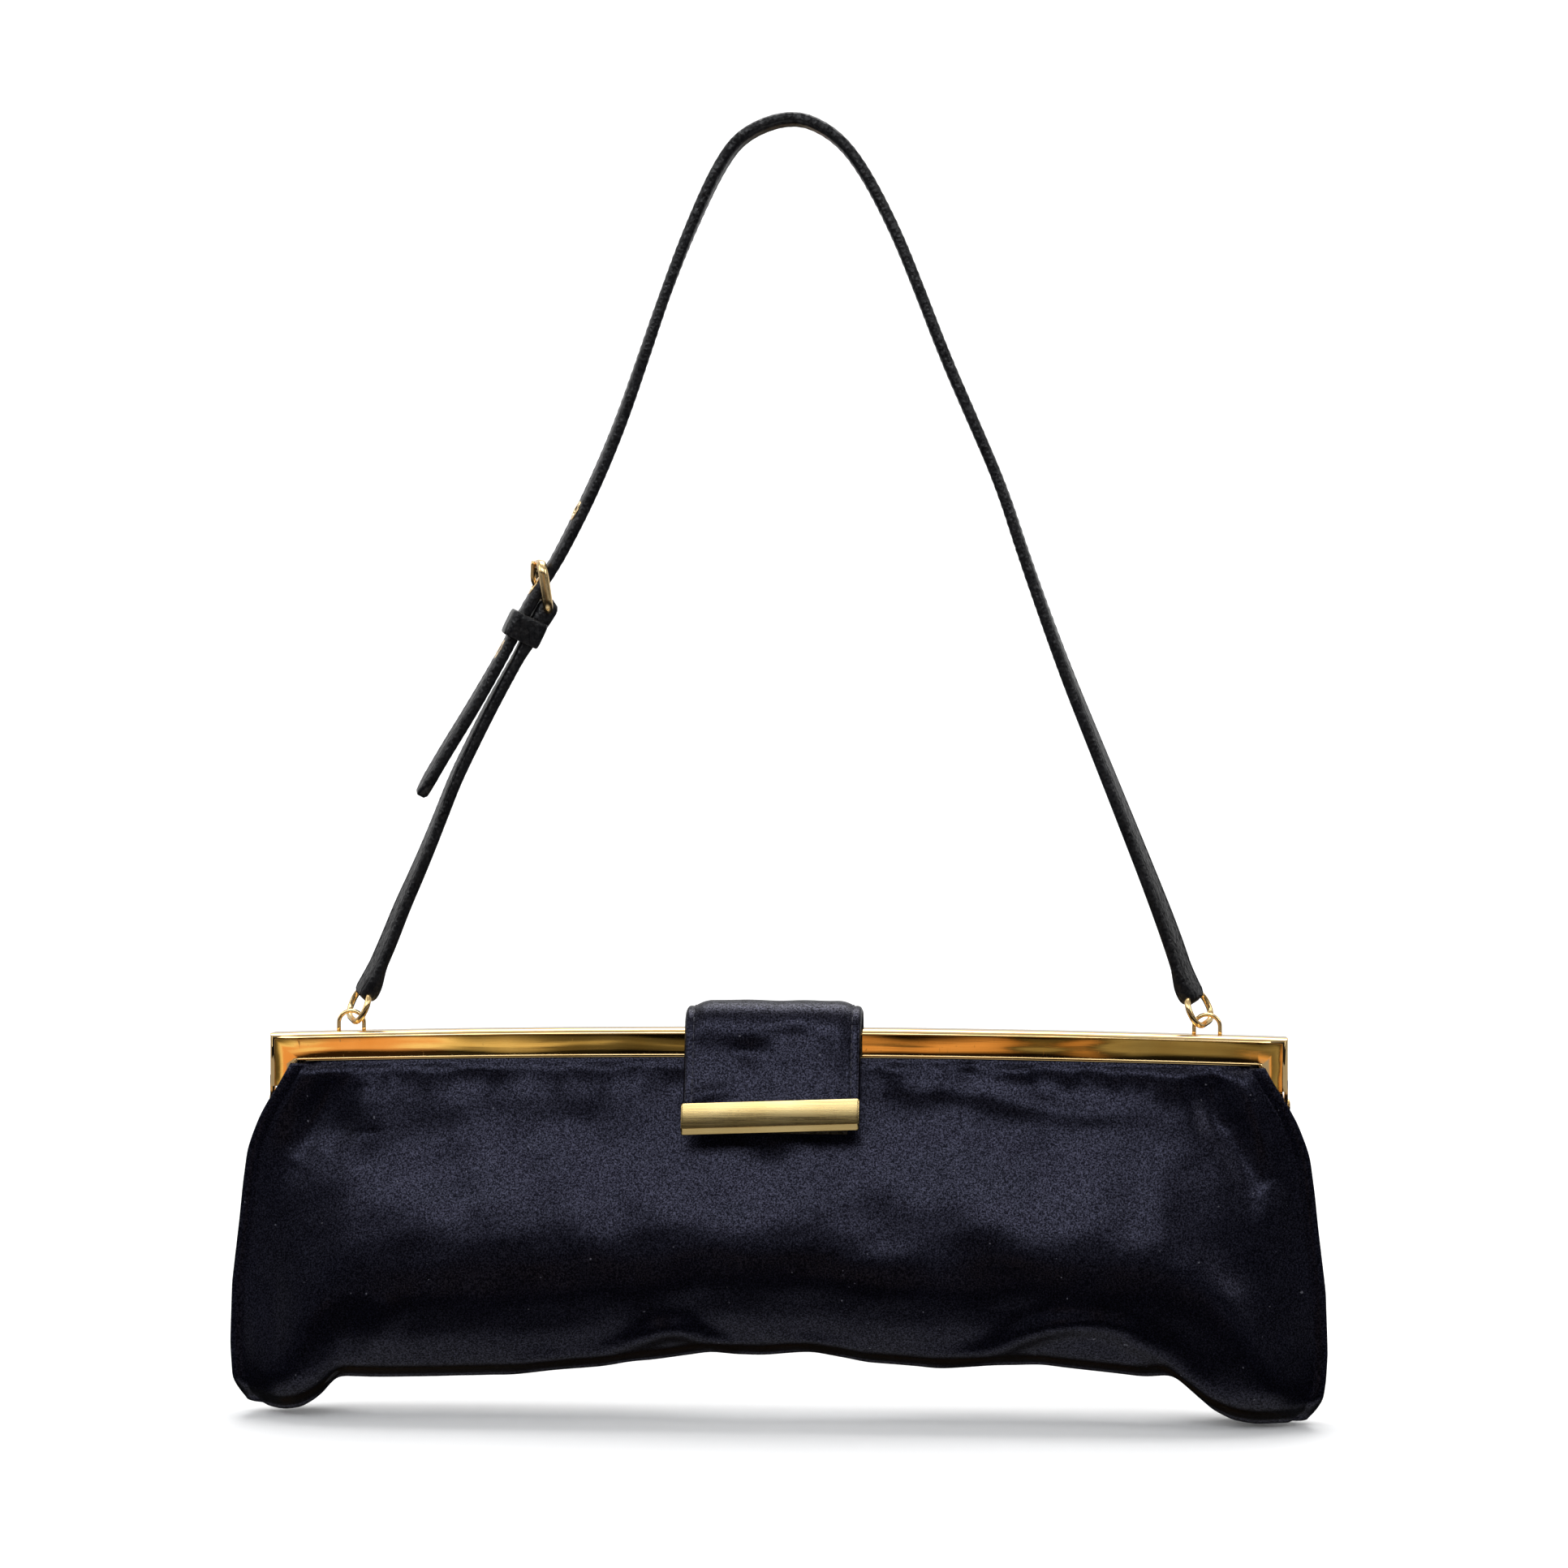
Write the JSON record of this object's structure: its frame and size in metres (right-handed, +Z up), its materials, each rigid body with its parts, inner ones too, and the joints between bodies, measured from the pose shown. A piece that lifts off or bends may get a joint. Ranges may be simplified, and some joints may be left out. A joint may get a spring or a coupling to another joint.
{
  "type": "clutch purse",
  "caption": "Long low satin frame clutch with a hinged metal frame, padded flap with a metal clasp bar, and a leather shoulder strap with a buckle.",
  "frame": {"origin": "on the resting plane, under the middle of the purse", "axes": "+X to the purse's right seen from the front, -Y out of its front, +Z up through the strap"},
  "size_m": [0.2898, 0.0416, 0.348],
  "materials": {
    "polished_gold": "polished, gold plated",
    "brushed_gold": "horizontally brushed, gold plated",
    "steel": "plain nickel",
    "satin": "black satin with a soft blue sheen",
    "lining": "fine matt black cloth",
    "cord": "twisted paper cord",
    "leather": "smooth black leather with a fine grain"
  },
  "bodies": {
    "bag": {"rear_frame": "polished_gold", "left_hinge_pin": "polished_gold", "right_hinge_pin": "polished_gold", "rear_frame_cord": "cord", "front_panel": "satin", "rear_panel": "satin", "left_gusset": "satin", "right_gusset": "satin", "front_lining": "lining", "rear_lining": "lining", "lining_pocket": "lining", "flap_anchor": "satin", "panel_magnet": "steel", "left_frame_loop": "polished_gold", "right_frame_loop": "polished_gold"},
    "front": {"front_frame": "polished_gold", "front_frame_cord": "cord"},
    "flap": {"flap_tab": "satin", "clasp_bar": "brushed_gold", "clasp_back_plate": "steel", "flap_magnet": "steel"},
    "strap": {"strap_long": "leather", "strap_short": "leather", "strap_eyelet_1": "polished_gold", "strap_eyelet_2": "polished_gold", "strap_eyelet_3": "polished_gold", "buckle_frame": "polished_gold"},
    "left_ring": {"left_ring": "polished_gold"},
    "right_ring": {"right_ring": "polished_gold"},
    "prong": {"buckle_prong": "polished_gold"},
    "keeper": {"strap_keeper": "leather"}
  },
  "joints": [
    {"name": "flap_lift", "type": "hinge", "parent": "bag", "child": "flap", "pos_m": [0, 0.0065, 0.1065], "axis": [-1, 0, 0], "range_deg": [0, 150]},
    {"name": "frame_open", "type": "hinge", "parent": "bag", "child": "front", "pos_m": [0, 0, 0.084], "axis": [1, 0, 0], "range_deg": [0, 60], "deforming": ["front_panel", "front_lining"]},
    {"name": "strap_swing", "type": "hinge", "parent": "bag", "child": "strap", "pos_m": [0, 0.0025, 0.10772], "axis": [1, 0, 0], "range_deg": [-40, 40]},
    {"name": "left_ring_turn", "type": "hinge", "parent": "strap", "child": "left_ring", "pos_m": [-0.10994, 0.0025, 0.11315], "axis": [0, 1, 0], "range_deg": [-3, 3]},
    {"name": "right_ring_turn", "type": "hinge", "parent": "strap", "child": "right_ring", "pos_m": [0.10994, 0.0025, 0.11315], "axis": [0, 1, 0], "range_deg": [-3, 3]},
    {"name": "prong_lift", "type": "hinge", "parent": "strap", "child": "prong", "pos_m": [-0.0614, 0.0025, 0.21552], "axis": [0, -1, 0], "range_deg": [0, 7]},
    {"name": "keeper_slide", "type": "slide", "parent": "strap", "child": "keeper", "axis": [-0.4365, 0, -0.8997], "range_m": [0, 0.008]}
  ],
  "couplings": [
    {"joint": "frame_open", "follows": "flap_lift", "ratio": 0.4}
  ]
}
